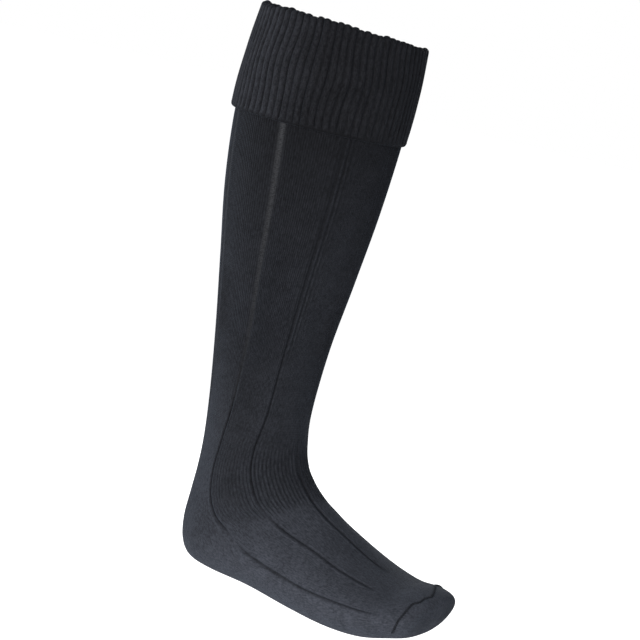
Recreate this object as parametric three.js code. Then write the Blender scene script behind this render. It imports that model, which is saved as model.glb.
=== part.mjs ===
import * as THREE from 'three';

// Football sock with a turned-down cuff, filled out in the form it has when worn.
// Millimetres, +Z up, toes towards +X. The origin is the centre of the open top.

// Leg
const SOCK_HEIGHT = 445;
const ANKLE_HEIGHT = 118;
const CALF_DEPTH = 135.5;
const CALF_WIDTH = 124;
const ANKLE_DEPTH = 82;
const ANKLE_WIDTH = 78;
const LEG_WALL = 2;

// Foot
const FOOT_LENGTH = 238.5;
const FOOT_WIDTH = 93;
const INSTEP_WALL = 2.2;
const SOLE_WALL = 3;

// Cuff, turned down over the leg
const CUFF_DROP = 81;
const CUFF_RETURN = 12;
const CUFF_WALL = 2.7;
const CUFF_EASE = 0.9;
const CUFF_RIB_RELIEF = 1;
const CUFF_RIBS = 72;

// Ribbed front of the ankle
const ANKLE_RIB_WALL = 2.6;
const ANKLE_RIB_RELIEF = 0.7;
const ANKLE_RIBS = 32;

// Ladder lines, where a needle was left out
const LADDER_LINES = 8;
const LADDER_WIDTH = 3;
const LADDER_DEPTH = 0.8;

// Seam over the toes
const SEAM_WIDTH = 3.6;
const SEAM_THICKNESS = 1.2;

// Clear space between two pieces that meet
const PIECE_GAP = 0.3;

const QUARTER_TURN = 90;
const HALF_TURN = 180;
const FULL_TURN = 360;
const COLUMN_ANGLE = 11.25;

// Leg sections from the fold down to the ankle.
// rise: share of the leg from the ankle up to the fold
// deep, wide: how far the section has grown from the ankle's size to the calf's
// centre: middle of the section, as a share of the foot's length from the heel
// border: angle from the front round to the line between the front and the back half
// bow: angle by which the lines midway between the front and the border bow back
const legRows = [
  { rise: 1.0, deep: 0.82, wide: 1.0, centre: 0.166, border: 87, bow: 0 },
  { rise: 0.892, deep: 0.935, wide: 1.02, centre: 0.159, border: 86, bow: 0 },
  { rise: 0.758, deep: 1.0, wide: 0.965, centre: 0.15, border: 85, bow: 0 },
  { rise: 0.581, deep: 0.82, wide: 0.845, centre: 0.151, border: 82, bow: 1 },
  { rise: 0.401, deep: 0.48, wide: 0.617, centre: 0.158, border: 82, bow: 2 },
  { rise: 0.235, deep: 0.174, wide: 0.343, centre: 0.163, border: 82, bow: 3 },
  { rise: 0.078, deep: 0.0, wide: 0.126, centre: 0.174, border: 89, bow: 4 },
];

// Outline of the foot from the side, from the ankle round the heel to the toes.
// topAlong, soleAlong: shares of the foot's length, from the back of the heel
// topRise, soleRise: shares of the ankle's height, from the lowest point of the sole
const footOutlineRows = [
  { topAlong: 0.363, topRise: 1.0, soleAlong: 0.014, soleRise: 0.911 },
  { topAlong: 0.39, topRise: 0.88, soleAlong: 0.013, soleRise: 0.695 },
  { topAlong: 0.425, topRise: 0.811, soleAlong: 0.005, soleRise: 0.487 },
  { topAlong: 0.464, topRise: 0.754, soleAlong: 0.002, soleRise: 0.297 },
  { topAlong: 0.502, topRise: 0.709, soleAlong: 0.02, soleRise: 0.143 },
  { topAlong: 0.54, topRise: 0.672, soleAlong: 0.067, soleRise: 0.055 },
  { topAlong: 0.577, topRise: 0.633, soleAlong: 0.162, soleRise: 0.029 },
  { topAlong: 0.628, topRise: 0.584, soleAlong: 0.328, soleRise: 0.032 },
  { topAlong: 0.698, topRise: 0.52, soleAlong: 0.509, soleRise: 0.01 },
  { topAlong: 0.781, topRise: 0.465, soleAlong: 0.66, soleRise: 0.0 },
  { topAlong: 0.862, topRise: 0.438, soleAlong: 0.782, soleRise: 0.019 },
  { topAlong: 0.935, topRise: 0.446, soleAlong: 0.877, soleRise: 0.073 },
  { topAlong: 0.989, topRise: 0.422, soleAlong: 0.935, soleRise: 0.12 },
  { topAlong: 1.0, topRise: 0.355, soleAlong: 0.961, soleRise: 0.191 },
  { topAlong: 0.994, topRise: 0.258, soleAlong: 0.981, soleRise: 0.234 },
];

// How each of these sections is filled out.
// wide: share of the foot's width
// widest: where the section is widest, as a share of the way from its top to its sole
// square: how full the sole's edges are, 1 for a plain oval and less for a squarer one
// border: angle from the top round to the line between the instep and the sole
// turn: angle by which the knitting at the front has turned towards the side
// bow: angle by which the lines midway between the front and the border bow back
const footFullnessRows = [
  { wide: 0.843, widest: 0.5, square: 1.0, border: 100, turn: 7, bow: 5 },
  { wide: 0.796, widest: 0.51, square: 1.0, border: 107, turn: 11, bow: 4 },
  { wide: 0.761, widest: 0.53, square: 1.0, border: 106, turn: 14, bow: 2 },
  { wide: 0.742, widest: 0.56, square: 0.95, border: 97, turn: 16, bow: 2 },
  { wide: 0.742, widest: 0.58, square: 0.9, border: 88, turn: 17, bow: 1 },
  { wide: 0.768, widest: 0.59, square: 0.85, border: 85, turn: 17, bow: 0 },
  { wide: 0.802, widest: 0.59, square: 0.8, border: 87, turn: 16, bow: -2 },
  { wide: 0.876, widest: 0.58, square: 0.75, border: 90, turn: 14, bow: -4 },
  { wide: 0.969, widest: 0.58, square: 0.72, border: 87, turn: 12, bow: -4 },
  { wide: 0.998, widest: 0.58, square: 0.7, border: 80, turn: 11, bow: -3 },
  { wide: 0.959, widest: 0.57, square: 0.7, border: 77, turn: 9, bow: -1 },
  { wide: 0.878, widest: 0.55, square: 0.75, border: 78, turn: 7, bow: 0 },
  { wide: 0.708, widest: 0.53, square: 0.8, border: 82, turn: 4, bow: 0 },
  { wide: 0.406, widest: 0.5, square: 0.9, border: 88, turn: 0, bow: 0 },
  { wide: 0.065, widest: 0.5, square: 1.0, border: 90, turn: 0, bow: 0 },
];

// Where the pieces end, as stations: row numbers counted on from the leg to the foot.
const LEG_END = 6.4;
const HEEL_END = 12.3;
const TOE_TIP = legRows.length + footOutlineRows.length - 1;
const TOE_INNER_TIP = TOE_TIP - 0.5;

// Lower edge of the ankle's ribbing: needle angle from the front, and station
const ribEdgeRows = [
  { needle: 0, station: 10.8 },
  { needle: 33.75, station: 11.2 },
  { needle: 56.25, station: 11.35 },
  { needle: 78.75, station: 11.0 },
  { needle: 90, station: 10.8 },
];

// Seam over the toes: needle angle from the front, and station
const seamRows = [
  { needle: 0, station: 18.3 },
  { needle: 90, station: 18.3 },
  { needle: 125, station: 18.2 },
  { needle: 180, station: 17.5 },
];
const SEAM_REACH = 125;
const SEAM_STEPS = 30;

// Section of the cuff, from under the hem up the outside and over the fold to the return.
// drop: share of the cuff's drop below the fold
// fold: share of the fold's radius below the fold
// back: share of the return's depth below the fold
// out: -1 at the leg's inner skin, 0 at its outer skin, 1 and 2 at the cuff's inner and outer skin
// rib: share of the rib relief by which the valleys are sunk
const cuffRows = [
  { drop: 1.0, fold: -0.15, back: 0, out: 1.0, rib: 0 },
  { drop: 1.0, fold: 0, back: 0, out: 1.95, rib: 0.1 },
  { drop: 0.94, fold: 0, back: 0, out: 2.0, rib: 1 },
  { drop: 0.5, fold: 0, back: 0, out: 2.1, rib: 1 },
  { drop: 0, fold: 1.2, back: 0, out: 2.0, rib: 1 },
  { drop: 0, fold: 0.25, back: 0, out: 1.65, rib: 0.9 },
  { drop: 0, fold: 0, back: 0, out: 0.8, rib: 0.5 },
  { drop: 0, fold: 0.5, back: 0, out: -0.85, rib: 0 },
  { drop: 0, fold: 1.5, back: 0, out: -1, rib: 0 },
  { drop: 0, fold: 0, back: 1, out: -1, rib: 0 },
  { drop: 0, fold: 0, back: 1, out: 0, rib: 0 },
  { drop: 0, fold: 1.3, back: 0, out: 0, rib: 0 },
  { drop: 0, fold: 1.3, back: 0, out: 1.0, rib: 0 },
  { drop: 0.5, fold: 0, back: 0, out: 1.1, rib: 0 },
];

const degrees = THREE.MathUtils.degToRad;
const mix = THREE.MathUtils.lerp;

// Sections in millimetres from the tables, all measured from the centre of the open top.
function makeSections() {
  const legHeight = SOCK_HEIGHT - ANKLE_HEIGHT;
  const openingAlong = legRows[0].centre * FOOT_LENGTH;
  const leg = legRows.map((row) => {
    const halfDepth = mix(ANKLE_DEPTH, CALF_DEPTH, row.deep) / 2;
    const middle = row.centre * FOOT_LENGTH - openingAlong;
    const height = (row.rise - 1) * legHeight;
    return {
      frontX: middle + halfDepth,
      frontZ: height,
      backX: middle - halfDepth,
      backZ: height,
      halfWidth: mix(ANKLE_WIDTH, CALF_WIDTH, row.wide) / 2,
      widest: 0.5,
      square: 1,
      border: row.border,
      turn: 0,
      bow: row.bow,
    };
  });
  const foot = footOutlineRows.map((row, index) => {
    const fullness = footFullnessRows[index];
    return {
      frontX: row.topAlong * FOOT_LENGTH - openingAlong,
      frontZ: row.topRise * ANKLE_HEIGHT - SOCK_HEIGHT,
      backX: row.soleAlong * FOOT_LENGTH - openingAlong,
      backZ: row.soleRise * ANKLE_HEIGHT - SOCK_HEIGHT,
      halfWidth: (fullness.wide * FOOT_WIDTH) / 2,
      widest: fullness.widest,
      square: fullness.square,
      border: fullness.border,
      turn: fullness.turn,
      bow: fullness.bow,
    };
  });
  return [...leg, ...foot];
}

const sections = makeSections();

// A smooth curve through four values, read between the middle two.
function throughFour(a, b, c, d, share) {
  const slope = c - a;
  const bend = 2 * a - 5 * b + 4 * c - d;
  const twist = 3 * b - a - 3 * c + d;
  return 0.5 * (2 * b + slope * share + bend * share ** 2 + twist * share ** 3);
}

// The section at a station, smooth through the rows.
function sectionAt(station) {
  const last = sections.length - 1;
  const low = THREE.MathUtils.clamp(Math.floor(station), 0, last - 1);
  const share = station - low;
  const section = {};
  for (const name of Object.keys(sections[0])) {
    const b = sections[low][name];
    const c = sections[low + 1][name];
    const a = low > 0 ? sections[low - 1][name] : 2 * b - c;
    const d = low + 1 < last ? sections[low + 2][name] : 2 * c - b;
    section[name] = throughFour(a, b, c, d, share);
  }
  return section;
}

// The station of a height on the leg, which falls steadily from the fold to the ankle.
function stationAtHeight(height) {
  let high = 0;
  let low = legRows.length - 1;
  for (let step = 0; step < 40; step += 1) {
    const middle = (high + low) / 2;
    if (sectionAt(middle).frontZ > height) {
      high = middle;
    } else {
      low = middle;
    }
  }
  return (high + low) / 2;
}

// The angle round a section of a needle, counted from the front.
function needleAngle(section, needle) {
  const size = Math.abs(needle);
  const inFront = size <= QUARTER_TURN;
  const beyond = ((size - QUARTER_TURN) / QUARTER_TURN) * (HALF_TURN - section.border);
  const angle = inFront ? (size / QUARTER_TURN) * section.border : section.border + beyond;
  const turned = inFront ? section.turn * Math.cos(degrees(needle)) : 0;
  const bowed = inFront ? section.bow * Math.sin(degrees(2 * needle)) : 0;
  return degrees(Math.sign(needle) * angle + turned + bowed);
}

// A point on the outer skin. Needles run from -180 to 180: 0 is the front, 90 the -Y side.
function skinPoint(station, needle) {
  const section = sectionAt(station);
  const angle = needleAngle(section, needle);
  const forward = Math.cos(angle);
  const sideways = Math.sin(angle);
  const middleX = mix(section.frontX, section.backX, section.widest);
  const middleZ = mix(section.frontZ, section.backZ, section.widest);
  if (forward >= 0) {
    return new THREE.Vector3(
      mix(middleX, section.frontX, forward),
      -section.halfWidth * sideways,
      mix(middleZ, section.frontZ, forward),
    );
  }
  const reach = Math.abs(forward) ** section.square;
  const spread = Math.sign(sideways) * Math.abs(sideways) ** section.square;
  return new THREE.Vector3(
    mix(middleX, section.backX, reach),
    -section.halfWidth * spread,
    mix(middleZ, section.backZ, reach),
  );
}

// The direction out of the skin, from its slopes along and round the sock.
function skinNormal(station, needle) {
  const alongStep = 0.02;
  const roundStep = 1;
  const lower = Math.min(station + alongStep, TOE_TIP);
  const along = skinPoint(lower, needle).sub(skinPoint(station - alongStep, needle));
  const round = skinPoint(station, needle + roundStep).sub(skinPoint(station, needle - roundStep));
  return round.cross(along).normalize();
}

// A point under the skin by a depth, or above it where the depth is below 0.
function shellPoint(station, needle, depth) {
  return skinPoint(station, needle).addScaledVector(skinNormal(station, needle), -depth);
}

// A value from a short table of needle and station rows, the same on both sides.
function edgeStation(rows, needle) {
  const size = Math.abs(needle);
  for (let index = 1; index < rows.length; index += 1) {
    if (size <= rows[index].needle) {
      const before = rows[index - 1];
      const share = (size - before.needle) / (rows[index].needle - before.needle);
      return mix(before.station, rows[index].station, share);
    }
  }
  return rows[rows.length - 1].station;
}

// Evenly spaced values, both ends included.
function spaced(from, to, steps) {
  return Array.from({ length: steps + 1 }, (_, index) => mix(from, to, index / steps));
}

// The way from an edge point into its wall, square to the edge, half a gap long.
function insetFrom(point, inward, before, after) {
  const edge = after.clone().sub(before).normalize();
  const way = inward.clone().sub(point);
  way.addScaledVector(edge, -way.dot(edge)).normalize();
  return way.multiplyScalar(PIECE_GAP / 2);
}

// Pulls the edge points of a grid inwards, so that neighbours keep their gap.
function pullEdges(grid, closedRound, closedEnd) {
  const rows = grid.length - 1;
  const columns = grid[0].length - 1;
  const moves = grid.map((row) => row.map(() => new THREE.Vector3()));
  const nearRow = (value) => THREE.MathUtils.clamp(value, 0, rows);
  const nearColumn = (value) => {
    if (closedRound) {
      return (value + columns + 1) % (columns + 1);
    }
    return THREE.MathUtils.clamp(value, 0, columns);
  };
  const pull = (row, column, rowStep, columnStep) => {
    const across = rowStep === 0 ? 1 : 0;
    const along = 1 - across;
    const before = grid[nearRow(row - across)][nearColumn(column - along)];
    const after = grid[nearRow(row + across)][nearColumn(column + along)];
    const inward = grid[row + rowStep][column + columnStep];
    moves[row][column].add(insetFrom(grid[row][column], inward, before, after));
  };
  for (let column = 0; column <= columns; column += 1) {
    pull(0, column, 1, 0);
    if (!closedEnd) {
      pull(rows, column, -1, 0);
    }
  }
  if (!closedRound) {
    for (let row = 0; row <= rows; row += 1) {
      pull(row, 0, 0, 1);
      pull(row, columns, 0, -1);
    }
  }
  grid.forEach((row, index) => row.forEach((point, column) => point.add(moves[index][column])));
}

// Collects the points and triangles of one closed body.
class Body {
  constructor() {
    this.points = [];
    this.faces = [];
  }

  addPoint(point) {
    this.points.push(point.x, point.y, point.z);
    return this.points.length / 3 - 1;
  }

  addGrid(grid) {
    return grid.map((row) => row.map((point) => this.addPoint(point)));
  }

  addQuad(a, b, c, d) {
    this.faces.push(a, c, b, a, d, c);
  }

  // Faces between two rows of points, facing out where the upper row comes first.
  addBand(upper, lower, closedRound) {
    const count = upper.length;
    const steps = closedRound ? count : count - 1;
    for (let index = 0; index < steps; index += 1) {
      const next = (index + 1) % count;
      this.addQuad(upper[index], lower[index], lower[next], upper[next]);
    }
  }

  toMesh(name, colour) {
    const geometry = new THREE.BufferGeometry();
    geometry.setAttribute('position', new THREE.Float32BufferAttribute(this.points, 3));
    geometry.setIndex(this.faces);
    geometry.computeVertexNormals();
    const material = new THREE.MeshStandardMaterial({ color: colour, roughness: 1, metalness: 0 });
    material.name = name;
    const mesh = new THREE.Mesh(geometry, material);
    mesh.name = name;
    return mesh;
  }
}

// A wall over part of the sock: an outer and an inner skin, and the edges between them.
function makeWall(options) {
  const { name, colour, needles, start, end, steps } = options;
  const { wall, relief, closedRound, closedEnd } = options;
  const rowAt = (share, innerSide) => needles.map((needle) => {
    const stop = closedEnd && innerSide ? TOE_INNER_TIP : end(needle);
    const station = mix(start(needle), stop, share);
    const depth = innerSide ? wall : relief(station, needle);
    return shellPoint(station, needle, depth);
  });
  const shares = spaced(0, 1, steps);
  const outerGrid = shares.map((share) => rowAt(share, false));
  const innerGrid = shares.map((share) => rowAt(share, true));
  pullEdges(outerGrid, closedRound, closedEnd);
  pullEdges(innerGrid, closedRound, closedEnd);

  const body = new Body();
  const outer = body.addGrid(outerGrid);
  const inner = body.addGrid(innerGrid);
  const last = shares.length - 1;
  for (let row = 0; row < last; row += 1) {
    body.addBand(outer[row], outer[row + 1], closedRound);
    body.addBand(inner[row + 1], inner[row], closedRound);
    if (!closedRound) {
      const end0 = needles.length - 1;
      body.addQuad(inner[row][0], inner[row + 1][0], outer[row + 1][0], outer[row][0]);
      body.addQuad(outer[row][end0], outer[row + 1][end0], inner[row + 1][end0], inner[row][end0]);
    }
  }
  body.addBand(inner[0], outer[0], closedRound);
  if (closedEnd) {
    closeTip(body, outerGrid[last], outer[last], false);
    closeTip(body, innerGrid[last], inner[last], true);
  } else {
    body.addBand(outer[last], inner[last], closedRound);
  }
  return body.toMesh(name, colour);
}

// Closes a small ring of points with a fan to its middle.
function closeTip(body, points, ring, innerSide) {
  const middle = new THREE.Vector3();
  for (const point of points) {
    middle.addScaledVector(point, 1 / points.length);
  }
  const centre = body.addPoint(middle);
  for (let index = 0; index < ring.length; index += 1) {
    const next = (index + 1) % ring.length;
    if (innerSide) {
      body.faces.push(ring[next], ring[index], centre);
    } else {
      body.faces.push(ring[index], ring[next], centre);
    }
  }
}

const noRelief = () => 0;

// Half the angle that a ladder line takes up at a station.
function ladderHalfAngle(station) {
  const section = sectionAt(station);
  const halfDepth = Math.hypot(section.frontX - section.backX, section.frontZ - section.backZ) / 2;
  const radius = (halfDepth + section.halfWidth) / 2;
  return THREE.MathUtils.radToDeg(LADDER_WIDTH / 2 / radius);
}

// Needles for a piece: even columns, with three close ones at each ladder line.
function needlesWithLadders(from, to, columnAngle, lines) {
  const spread = ladderHalfAngle(legRows.length - 1);
  const even = spaced(from, to, Math.round((to - from) / columnAngle));
  const atLines = lines.flatMap((line) => [line - spread, line, line + spread]);
  const all = [...even, ...atLines].filter((needle) => needle >= from && needle <= to);
  return [...new Set(all)].sort((a, b) => a - b);
}

// Sinks the middle needle of each ladder line.
function ladderRelief(lines) {
  return (station, needle) => (lines.includes(needle) ? LADDER_DEPTH : 0);
}

function makeLegTube() {
  const top = stationAtHeight(-CUFF_RETURN);
  const lines = spaced(-HALF_TURN, HALF_TURN, LADDER_LINES).slice(0, -1);
  const needles = needlesWithLadders(-HALF_TURN, HALF_TURN, COLUMN_ANGLE, lines.concat(HALF_TURN));
  return makeWall({
    name: 'leg_tube',
    colour: 0x2b2c31,
    needles: needles.slice(0, -1),
    start: () => top,
    end: () => LEG_END,
    steps: 8,
    wall: LEG_WALL,
    relief: ladderRelief(lines),
    closedRound: true,
    closedEnd: false,
  });
}

// The ankle's ribs have a needle at each crest and one in each valley.
function makeAnkleRib() {
  const needles = spaced(-QUARTER_TURN, QUARTER_TURN, ANKLE_RIBS * 2);
  const valleys = new Set(needles.filter((_, index) => index % 2 === 1));
  return makeWall({
    name: 'ankle_rib',
    colour: 0x2d2e33,
    needles,
    start: () => LEG_END,
    end: (needle) => edgeStation(ribEdgeRows, needle),
    steps: 6,
    wall: ANKLE_RIB_WALL,
    relief: (station, needle) => (valleys.has(needle) ? ANKLE_RIB_RELIEF : 0),
    closedRound: false,
    closedEnd: false,
  });
}

// Needles of the back half, from one border round the back to the other
const backNeedles = spaced(QUARTER_TURN, FULL_TURN - QUARTER_TURN, HALF_TURN / COLUMN_ANGLE);

function aroundBack(needle) {
  return needle > HALF_TURN ? needle - FULL_TURN : needle;
}

function makeHeelPocket() {
  return makeWall({
    name: 'heel_pocket',
    colour: 0x3d4047,
    needles: backNeedles,
    start: () => LEG_END,
    end: () => HEEL_END,
    steps: 13,
    wall: SOLE_WALL,
    relief: noRelief,
    closedRound: false,
    closedEnd: false,
  });
}

function makeSole() {
  return makeWall({
    name: 'sole',
    colour: 0x40434b,
    needles: backNeedles,
    start: () => HEEL_END,
    end: (needle) => edgeStation(seamRows, aroundBack(needle)),
    steps: 9,
    wall: SOLE_WALL,
    relief: noRelief,
    closedRound: false,
    closedEnd: false,
  });
}

function makeInstep() {
  const lines = spaced(-HALF_TURN / 4, HALF_TURN / 4, 2);
  return makeWall({
    name: 'instep',
    colour: 0x3a3d45,
    needles: needlesWithLadders(-QUARTER_TURN, QUARTER_TURN, COLUMN_ANGLE / 2, lines),
    start: (needle) => edgeStation(ribEdgeRows, needle),
    end: (needle) => edgeStation(seamRows, needle),
    steps: 9,
    wall: INSTEP_WALL,
    relief: ladderRelief(lines),
    closedRound: false,
    closedEnd: false,
  });
}

function makeToeCap() {
  const needles = spaced(-HALF_TURN, HALF_TURN, FULL_TURN / COLUMN_ANGLE).slice(0, -1);
  return makeWall({
    name: 'toe_cap',
    colour: 0x35383f,
    needles,
    start: (needle) => edgeStation(seamRows, needle),
    end: () => TOE_TIP,
    steps: 6,
    wall: SOLE_WALL,
    relief: noRelief,
    closedRound: true,
    closedEnd: true,
  });
}

// A low ridge that lies over the joint of the instep and the toe cap.
function makeToeSeam() {
  const ridge = [
    { across: -0.5, up: 0 },
    { across: -0.3, up: 0.8 },
    { across: 0, up: 1 },
    { across: 0.3, up: 0.8 },
    { across: 0.5, up: 0 },
  ];
  const needles = spaced(-SEAM_REACH, SEAM_REACH, SEAM_STEPS);
  const body = new Body();
  const rings = needles.map((needle) => {
    const station = edgeStation(seamRows, needle);
    const centre = shellPoint(station, needle, -PIECE_GAP);
    const normal = skinNormal(station, needle);
    const before = skinPoint(edgeStation(seamRows, needle - 1), needle - 1);
    const after = skinPoint(edgeStation(seamRows, needle + 1), needle + 1);
    const way = after.sub(before).normalize();
    const across = normal.clone().cross(way).normalize();
    return ridge.map((step) => {
      const point = centre.clone().addScaledVector(across, step.across * SEAM_WIDTH);
      point.addScaledVector(normal, step.up * SEAM_THICKNESS);
      return body.addPoint(point);
    });
  });
  for (let index = 0; index < rings.length - 1; index += 1) {
    for (let side = 0; side < ridge.length; side += 1) {
      const next = (side + 1) % ridge.length;
      const ring = rings[index];
      const nextRing = rings[index + 1];
      body.addQuad(ring[side], ring[next], nextRing[next], nextRing[side]);
    }
  }
  closeFlat(body, rings[0], false);
  closeFlat(body, rings[rings.length - 1], true);
  return body.toMesh('toe_seam', 0x1e1f24);
}

// Closes a small flat ring with a fan from its first point.
function closeFlat(body, ring, reversed) {
  for (let index = 1; index < ring.length - 1; index += 1) {
    if (reversed) {
      body.faces.push(ring[0], ring[index + 1], ring[index]);
    } else {
      body.faces.push(ring[0], ring[index], ring[index + 1]);
    }
  }
}

// How far a step of the cuff's section stands out from the leg's skin.
function cuffStand(out) {
  if (out < 0) {
    return out * LEG_WALL;
  }
  const ease = Math.min(out, 1) * CUFF_EASE;
  return ease + Math.max(out - 1, 0) * CUFF_WALL;
}

function makeTurnoverCuff() {
  const foldRadius = (CUFF_EASE + CUFF_WALL + LEG_WALL) / 2;
  const needles = spaced(0, FULL_TURN, CUFF_RIBS * 2).slice(0, -1);
  const body = new Body();
  const rows = cuffRows.map((row) => needles.map((needle, index) => {
    const valley = index % 2 === 1 ? row.rib * CUFF_RIB_RELIEF : 0;
    const height = -(row.drop * CUFF_DROP + row.fold * foldRadius + row.back * CUFF_RETURN);
    const station = stationAtHeight(height);
    const around = aroundBack(needle);
    const normal = skinNormal(station, around).setZ(0).normalize();
    const point = skinPoint(station, around).addScaledVector(normal, cuffStand(row.out) - valley);
    return body.addPoint(point.setZ(height));
  }));
  for (let index = 0; index < rows.length; index += 1) {
    body.addBand(rows[(index + 1) % rows.length], rows[index], true);
  }
  return body.toMesh('turnover_cuff', 0x28292e);
}

const sock = new THREE.Group();
sock.name = 'football_sock';
sock.add(
  makeTurnoverCuff(),
  makeLegTube(),
  makeAnkleRib(),
  makeHeelPocket(),
  makeInstep(),
  makeSole(),
  makeToeCap(),
  makeToeSeam(),
);

export default sock;
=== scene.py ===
"""Football sock with a turned-down cuff, knitted and finished over its plain solids.

Every piece is knitted flat as a grid of columns (needles round the sock) and
rows (courses down the sock), and is then worn: its points are laid on one form
that all pieces share. Lengths are in millimetres until the mesh is placed.
"""

import logging
import math
from dataclasses import dataclass, field
from enum import IntEnum
from typing import Callable, Sequence

import bpy
import numpy as np
from mathutils import Matrix, Vector


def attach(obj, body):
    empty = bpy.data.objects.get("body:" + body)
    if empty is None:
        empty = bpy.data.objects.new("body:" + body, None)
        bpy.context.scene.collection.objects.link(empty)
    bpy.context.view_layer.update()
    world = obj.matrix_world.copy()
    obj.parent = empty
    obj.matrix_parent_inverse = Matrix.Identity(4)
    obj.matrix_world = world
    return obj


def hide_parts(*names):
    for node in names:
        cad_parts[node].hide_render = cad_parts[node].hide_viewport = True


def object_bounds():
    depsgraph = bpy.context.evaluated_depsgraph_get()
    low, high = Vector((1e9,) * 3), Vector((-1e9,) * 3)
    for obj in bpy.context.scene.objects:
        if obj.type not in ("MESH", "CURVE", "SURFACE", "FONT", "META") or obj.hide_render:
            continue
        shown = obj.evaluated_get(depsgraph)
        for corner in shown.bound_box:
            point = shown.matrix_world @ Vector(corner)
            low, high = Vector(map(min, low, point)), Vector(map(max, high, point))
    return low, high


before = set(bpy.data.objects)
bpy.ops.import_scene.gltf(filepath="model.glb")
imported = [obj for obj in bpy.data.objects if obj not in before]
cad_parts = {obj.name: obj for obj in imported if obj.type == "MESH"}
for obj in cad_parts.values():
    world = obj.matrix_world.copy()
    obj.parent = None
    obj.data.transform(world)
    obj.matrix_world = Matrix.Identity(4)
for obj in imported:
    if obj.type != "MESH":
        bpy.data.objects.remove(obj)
CAD_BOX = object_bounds()

MM = 0.001
QUARTER_TURN = 90.0
HALF_TURN = 180.0
FULL_TURN = 360.0

log = logging.getLogger("football_sock")

Pair = tuple[float, float]
Triple = tuple[float, float, float]
Rows = Sequence[tuple[float, ...]]
Socket = bpy.types.NodeSocket
Relief = tuple[np.ndarray, np.ndarray]
Surface = Callable[[np.ndarray, np.ndarray], Relief]

STATION_STEP = 0.02
NEEDLE_STEP = 1.0
HALVINGS = 40
JOIN_REACH = 0.002
SHARP_ANGLE = 50.0


def signed_angle(needle: np.ndarray) -> np.ndarray:
    """Needle angles from -180 to 180, with 0 at the front."""
    return (needle + HALF_TURN) % FULL_TURN - HALF_TURN


def from_front(needle: np.ndarray) -> np.ndarray:
    """Needle angles counted from the front to either side, from 0 to 180."""
    return np.abs(signed_angle(needle))


def risen(value: np.ndarray, start: float, length: float) -> np.ndarray:
    """Shares that rise from 0 at the start to 1 a length further on."""
    return np.clip((value - start) / length, 0, 1)


def fallen(value: np.ndarray, end: float, length: float) -> np.ndarray:
    """Shares that fall over a length, from 1 to 0 at the end."""
    return np.clip((end - value) / length, 0, 1)


def bell(value: np.ndarray, middle: float, reach: float) -> np.ndarray:
    """Shares that are 1 in the middle and fade away to both sides."""
    return np.exp(-((value - middle) / reach) ** 2)


class Column(IntEnum):
    """Columns of the table of sections."""

    FRONT_X = 0
    FRONT_Z = 1
    BACK_X = 2
    BACK_Z = 3
    HALF_WIDTH = 4
    WIDEST = 5
    SQUARE = 6
    BORDER = 7
    TURN = 8
    BOW = 9


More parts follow.
